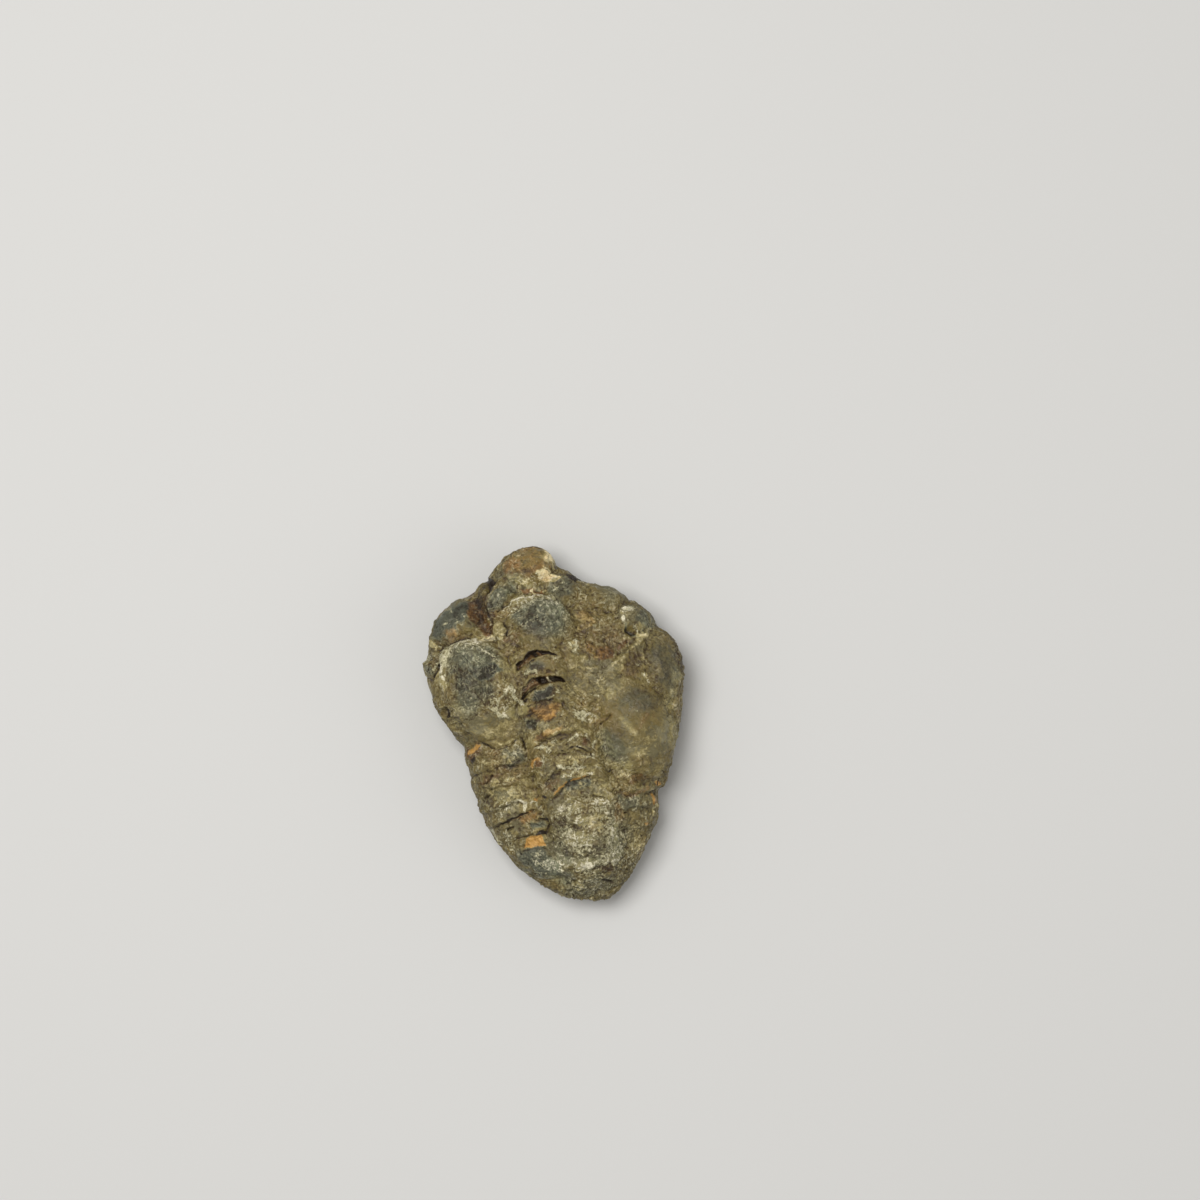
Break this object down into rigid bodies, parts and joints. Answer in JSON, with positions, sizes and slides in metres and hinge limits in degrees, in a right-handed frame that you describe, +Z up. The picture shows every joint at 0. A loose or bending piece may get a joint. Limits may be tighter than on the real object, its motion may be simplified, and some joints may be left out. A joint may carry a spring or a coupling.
{
  "type": "trilobite fossil",
  "caption": "Whole trilobite fossil kept as one small stone nodule, back upward, with ringed axis, cheeks and ribs; rests on a flat worn belly.",
  "frame": {"origin": "centre of the stone's bounding box at the height of the flat worn belly face it rests on", "axes": "+Y toward the head, +Z up out of the back, +X to the right with the back upward and the head away"},
  "size_m": [0.0402, 0.0565, 0.0171],
  "materials": {
    "fossil_stone": "weathered calcite and limestone, olive brown with blue-grey, rust and ochre patches, slightly waxy"
  },
  "bodies": {
    "root": {"trilobite_fossil": "fossil_stone"}
  },
  "joints": []
}
